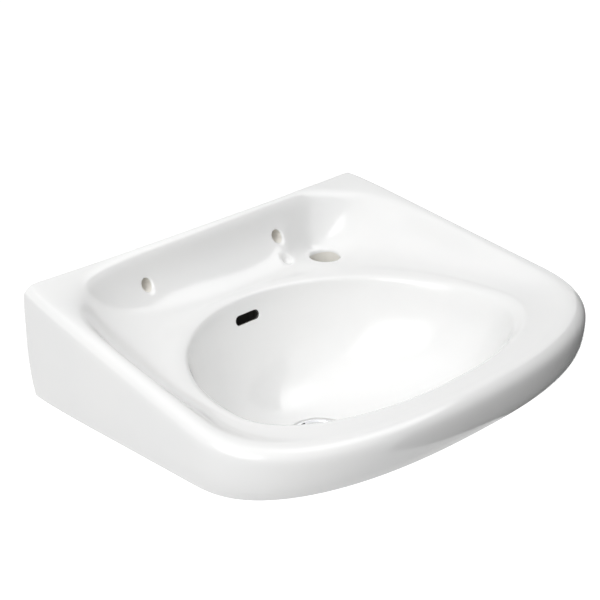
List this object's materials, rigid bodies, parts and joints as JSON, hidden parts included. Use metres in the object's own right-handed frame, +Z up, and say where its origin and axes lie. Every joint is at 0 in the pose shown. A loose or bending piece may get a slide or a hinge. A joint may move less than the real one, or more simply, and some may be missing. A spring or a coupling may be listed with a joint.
{
  "type": "wall-hung washbasin",
  "caption": "White wall-hung washbasin with a sloping backsplash and side ridges, a wide bowl, an overflow slot, a tap hole to the right, wall fixing holes and a push-open waste.",
  "frame": {"origin": "on the wall plane, midway between the two wall fixing holes", "axes": "+X to the right of a person facing the wall, +Y into the wall, +Z up"},
  "size_m": [0.5501, 0.4147, 0.2541],
  "materials": {
    "china": "gloss",
    "chrome": "polished",
    "brass": "machined",
    "steel": "drawn wire",
    "rubber": "matte",
    "plastic": "matte"
  },
  "bodies": {
    "basin_and_waste": {"basin": "china", "waste_body": "chrome", "flange_seal": "rubber", "lower_seal": "rubber", "slip_washer": "plastic", "backnut": "brass", "cartridge_foot": "brass", "cartridge_housing": "brass", "spring": "steel"},
    "plug": {"spindle": "brass", "plug_cap": "chrome", "plug_seal": "rubber"}
  },
  "joints": [
    {"name": "plug_slide", "type": "slide", "parent": "basin_and_waste", "child": "plug", "axis": [0, 0, 1], "range_m": [0, 0.007], "deforming": ["spring"]}
  ]
}
